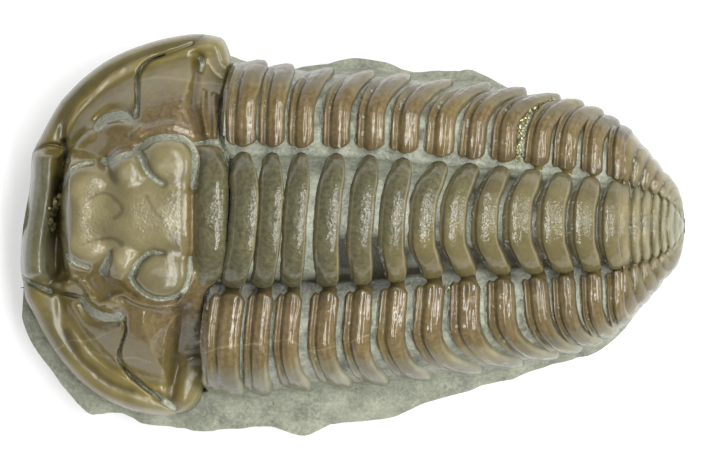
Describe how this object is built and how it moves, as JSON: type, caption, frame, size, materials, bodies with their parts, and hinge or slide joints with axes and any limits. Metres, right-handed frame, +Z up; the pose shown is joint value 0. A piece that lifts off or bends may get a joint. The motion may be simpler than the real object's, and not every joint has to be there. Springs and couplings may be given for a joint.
{
  "type": "fossil trilobite",
  "caption": "Prone trilobite fossil with a lobed head shield, ribbed body segments and tapered tail, resting on a flat-footed piece of its mudstone.",
  "frame": {"origin": "centre of the bounding box in plan, on the stone's flat foot", "axes": "+X from the head to the tail, +Y to the animal's right side, +Z up out of the animal's back"},
  "size_m": [0.0304, 0.0186, 0.0099],
  "materials": {
    "shell": "glossy brown calcite",
    "stone": "matt grey-green mudstone"
  },
  "bodies": {
    "root": {"head_shield": "shell", "left_cheek": "shell", "right_cheek": "shell", "body_segment_01": "shell", "body_segment_02": "shell", "body_segment_03": "shell", "body_segment_04": "shell", "body_segment_05": "shell", "body_segment_06": "shell", "body_segment_07": "shell", "body_segment_08": "shell", "body_segment_09": "shell", "body_segment_10": "shell", "body_segment_11": "shell", "body_segment_12": "shell", "body_segment_13": "shell", "tail_shield": "shell", "matrix": "stone"}
  },
  "joints": []
}
